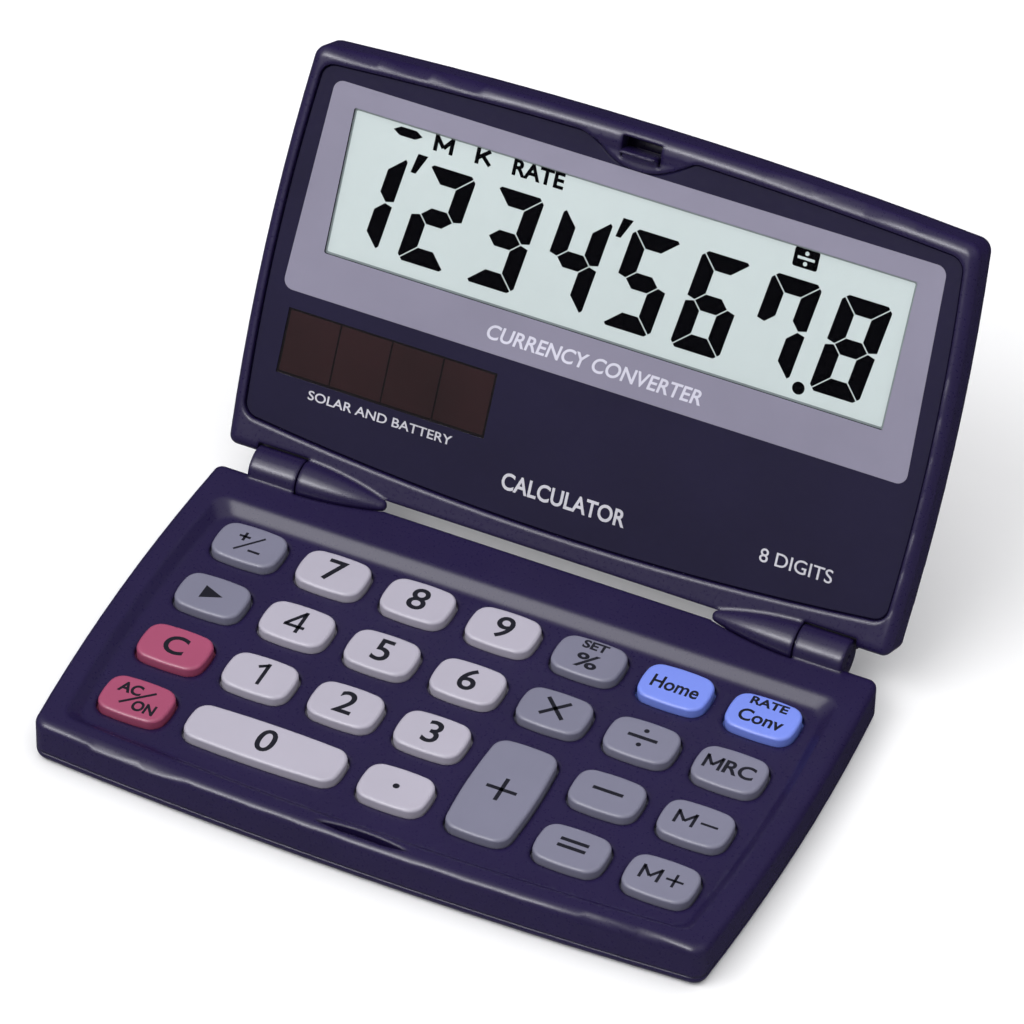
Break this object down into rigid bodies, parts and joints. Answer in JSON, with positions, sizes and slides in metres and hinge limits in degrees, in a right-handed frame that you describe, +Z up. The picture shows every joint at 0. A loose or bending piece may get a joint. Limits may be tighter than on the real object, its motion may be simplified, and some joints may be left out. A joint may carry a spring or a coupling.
{
  "type": "pocket calculator",
  "caption": "Folding pocket calculator: a keypad leaf and a display leaf on two hinges, with springy keys, a liquid crystal display, a solar cell and a latch.",
  "frame": {"origin": "on the flat underside of the keypad leaf, midway between its sides and 27.4 mm in front of the hinge axis", "axes": "+X to the right along the hinge axis, +Y from the front edge of the keypad to the hinge, +Z up"},
  "size_m": [0.09, 0.0838, 0.0548],
  "materials": {
    "case": "glossy navy-purple moulded plastic",
    "key_light": "satin light grey key caps",
    "key_grey": "satin mid grey key caps",
    "key_red": "satin dark red key caps",
    "key_blue": "satin blue key caps",
    "lens": "clear acrylic panel printed on the back",
    "lcd_glass": "liquid crystal cell",
    "lcd_film": "polarizing film",
    "lcd_reflector": "pale green-grey reflector",
    "foam": "closed-cell foam",
    "silicone": "silicone rubber",
    "board": "green printed board",
    "film": "amber flexible film",
    "resin": "black potting resin",
    "component": "small electronic components",
    "steel": "bright steel",
    "screw": "nickel-plated steel",
    "contact": "nickel-plated spring sheet",
    "solar": "amorphous silicon cell on glass",
    "label": "blank silver-grey label"
  },
  "bodies": {
    "base": {"base_upper_case": "case", "base_lower_case": "case", "key_mat": "silicone", "contact_board": "board", "hinge_pin_left": "steel", "hinge_pin_right": "steel", "base_screws": "screw", "rating_label": "label", "film_tail_base": "film"},
    "display": {"display_front_case": "case", "display_rear_case": "case", "lens_panel": "lens", "lcd_glass": "lcd_glass", "lcd_front_polarizer": "lcd_film", "lcd_reflector": "lcd_reflector", "lcd_cushion": "foam", "zebra_strip": "silicone", "solar_cell": "solar", "solar_leads": "screw", "main_board": "board", "film_tail_display": "film", "chip_cover": "resin", "board_components": "component", "button_cell": "steel", "cell_contact_positive": "contact", "cell_contact_negative": "contact", "display_screws": "screw"},
    "key_sign": {"key_sign": "key_grey"},
    "key_7": {"key_7": "key_light"},
    "key_8": {"key_8": "key_light"},
    "key_9": {"key_9": "key_light"},
    "key_percent": {"key_percent": "key_grey"},
    "key_local": {"key_local": "key_blue"},
    "key_exchange": {"key_exchange": "key_blue"},
    "key_backspace": {"key_backspace": "key_grey"},
    "key_4": {"key_4": "key_light"},
    "key_5": {"key_5": "key_light"},
    "key_6": {"key_6": "key_light"},
    "key_multiply": {"key_multiply": "key_grey"},
    "key_divide": {"key_divide": "key_grey"},
    "key_memory_recall": {"key_memory_recall": "key_grey"},
    "key_clear": {"key_clear": "key_red"},
    "key_1": {"key_1": "key_light"},
    "key_2": {"key_2": "key_light"},
    "key_3": {"key_3": "key_light"},
    "key_plus": {"key_plus": "key_grey"},
    "key_minus": {"key_minus": "key_grey"},
    "key_memory_minus": {"key_memory_minus": "key_grey"},
    "key_all_clear": {"key_all_clear": "key_red"},
    "key_0": {"key_0": "key_light"},
    "key_point": {"key_point": "key_light"},
    "key_equals": {"key_equals": "key_grey"},
    "key_memory_plus": {"key_memory_plus": "key_grey"}
  },
  "joints": [
    {"name": "display_hinge", "type": "hinge", "parent": "base", "child": "display", "pos_m": [0, 0.0274, 0.0063], "axis": [1, 0, 0], "range_deg": [-63, 117]},
    {"name": "key_sign_press", "type": "slide", "parent": "base", "child": "key_sign", "axis": [0, 0, -1], "range_m": [0, 0.0007], "stiffness_N_per_m": 300, "springref_m": -0.0004},
    {"name": "key_7_press", "type": "slide", "parent": "base", "child": "key_7", "axis": [0, 0, -1], "range_m": [0, 0.0007], "stiffness_N_per_m": 300, "springref_m": -0.0004},
    {"name": "key_8_press", "type": "slide", "parent": "base", "child": "key_8", "axis": [0, 0, -1], "range_m": [0, 0.0007], "stiffness_N_per_m": 300, "springref_m": -0.0004},
    {"name": "key_9_press", "type": "slide", "parent": "base", "child": "key_9", "axis": [0, 0, -1], "range_m": [0, 0.0007], "stiffness_N_per_m": 300, "springref_m": -0.0004},
    {"name": "key_percent_press", "type": "slide", "parent": "base", "child": "key_percent", "axis": [0, 0, -1], "range_m": [0, 0.0007], "stiffness_N_per_m": 300, "springref_m": -0.0004},
    {"name": "key_local_press", "type": "slide", "parent": "base", "child": "key_local", "axis": [0, 0, -1], "range_m": [0, 0.0007], "stiffness_N_per_m": 300, "springref_m": -0.0004},
    {"name": "key_exchange_press", "type": "slide", "parent": "base", "child": "key_exchange", "axis": [0, 0, -1], "range_m": [0, 0.0007], "stiffness_N_per_m": 300, "springref_m": -0.0004},
    {"name": "key_backspace_press", "type": "slide", "parent": "base", "child": "key_backspace", "axis": [0, 0, -1], "range_m": [0, 0.0007], "stiffness_N_per_m": 300, "springref_m": -0.0004},
    {"name": "key_4_press", "type": "slide", "parent": "base", "child": "key_4", "axis": [0, 0, -1], "range_m": [0, 0.0007], "stiffness_N_per_m": 300, "springref_m": -0.0004},
    {"name": "key_5_press", "type": "slide", "parent": "base", "child": "key_5", "axis": [0, 0, -1], "range_m": [0, 0.0007], "stiffness_N_per_m": 300, "springref_m": -0.0004},
    {"name": "key_6_press", "type": "slide", "parent": "base", "child": "key_6", "axis": [0, 0, -1], "range_m": [0, 0.0007], "stiffness_N_per_m": 300, "springref_m": -0.0004},
    {"name": "key_multiply_press", "type": "slide", "parent": "base", "child": "key_multiply", "axis": [0, 0, -1], "range_m": [0, 0.0007], "stiffness_N_per_m": 300, "springref_m": -0.0004},
    {"name": "key_divide_press", "type": "slide", "parent": "base", "child": "key_divide", "axis": [0, 0, -1], "range_m": [0, 0.0007], "stiffness_N_per_m": 300, "springref_m": -0.0004},
    {"name": "key_memory_recall_press", "type": "slide", "parent": "base", "child": "key_memory_recall", "axis": [0, 0, -1], "range_m": [0, 0.0007], "stiffness_N_per_m": 300, "springref_m": -0.0004},
    {"name": "key_clear_press", "type": "slide", "parent": "base", "child": "key_clear", "axis": [0, 0, -1], "range_m": [0, 0.0007], "stiffness_N_per_m": 300, "springref_m": -0.0004},
    {"name": "key_1_press", "type": "slide", "parent": "base", "child": "key_1", "axis": [0, 0, -1], "range_m": [0, 0.0007], "stiffness_N_per_m": 300, "springref_m": -0.0004},
    {"name": "key_2_press", "type": "slide", "parent": "base", "child": "key_2", "axis": [0, 0, -1], "range_m": [0, 0.0007], "stiffness_N_per_m": 300, "springref_m": -0.0004},
    {"name": "key_3_press", "type": "slide", "parent": "base", "child": "key_3", "axis": [0, 0, -1], "range_m": [0, 0.0007], "stiffness_N_per_m": 300, "springref_m": -0.0004},
    {"name": "key_plus_press", "type": "slide", "parent": "base", "child": "key_plus", "axis": [0, 0, -1], "range_m": [0, 0.0007], "stiffness_N_per_m": 300, "springref_m": -0.0004},
    {"name": "key_minus_press", "type": "slide", "parent": "base", "child": "key_minus", "axis": [0, 0, -1], "range_m": [0, 0.0007], "stiffness_N_per_m": 300, "springref_m": -0.0004},
    {"name": "key_memory_minus_press", "type": "slide", "parent": "base", "child": "key_memory_minus", "axis": [0, 0, -1], "range_m": [0, 0.0007], "stiffness_N_per_m": 300, "springref_m": -0.0004},
    {"name": "key_all_clear_press", "type": "slide", "parent": "base", "child": "key_all_clear", "axis": [0, 0, -1], "range_m": [0, 0.0007], "stiffness_N_per_m": 300, "springref_m": -0.0004},
    {"name": "key_0_press", "type": "slide", "parent": "base", "child": "key_0", "axis": [0, 0, -1], "range_m": [0, 0.0007], "stiffness_N_per_m": 300, "springref_m": -0.0004},
    {"name": "key_point_press", "type": "slide", "parent": "base", "child": "key_point", "axis": [0, 0, -1], "range_m": [0, 0.0007], "stiffness_N_per_m": 300, "springref_m": -0.0004},
    {"name": "key_equals_press", "type": "slide", "parent": "base", "child": "key_equals", "axis": [0, 0, -1], "range_m": [0, 0.0007], "stiffness_N_per_m": 300, "springref_m": -0.0004},
    {"name": "key_memory_plus_press", "type": "slide", "parent": "base", "child": "key_memory_plus", "axis": [0, 0, -1], "range_m": [0, 0.0007], "stiffness_N_per_m": 300, "springref_m": -0.0004}
  ]
}
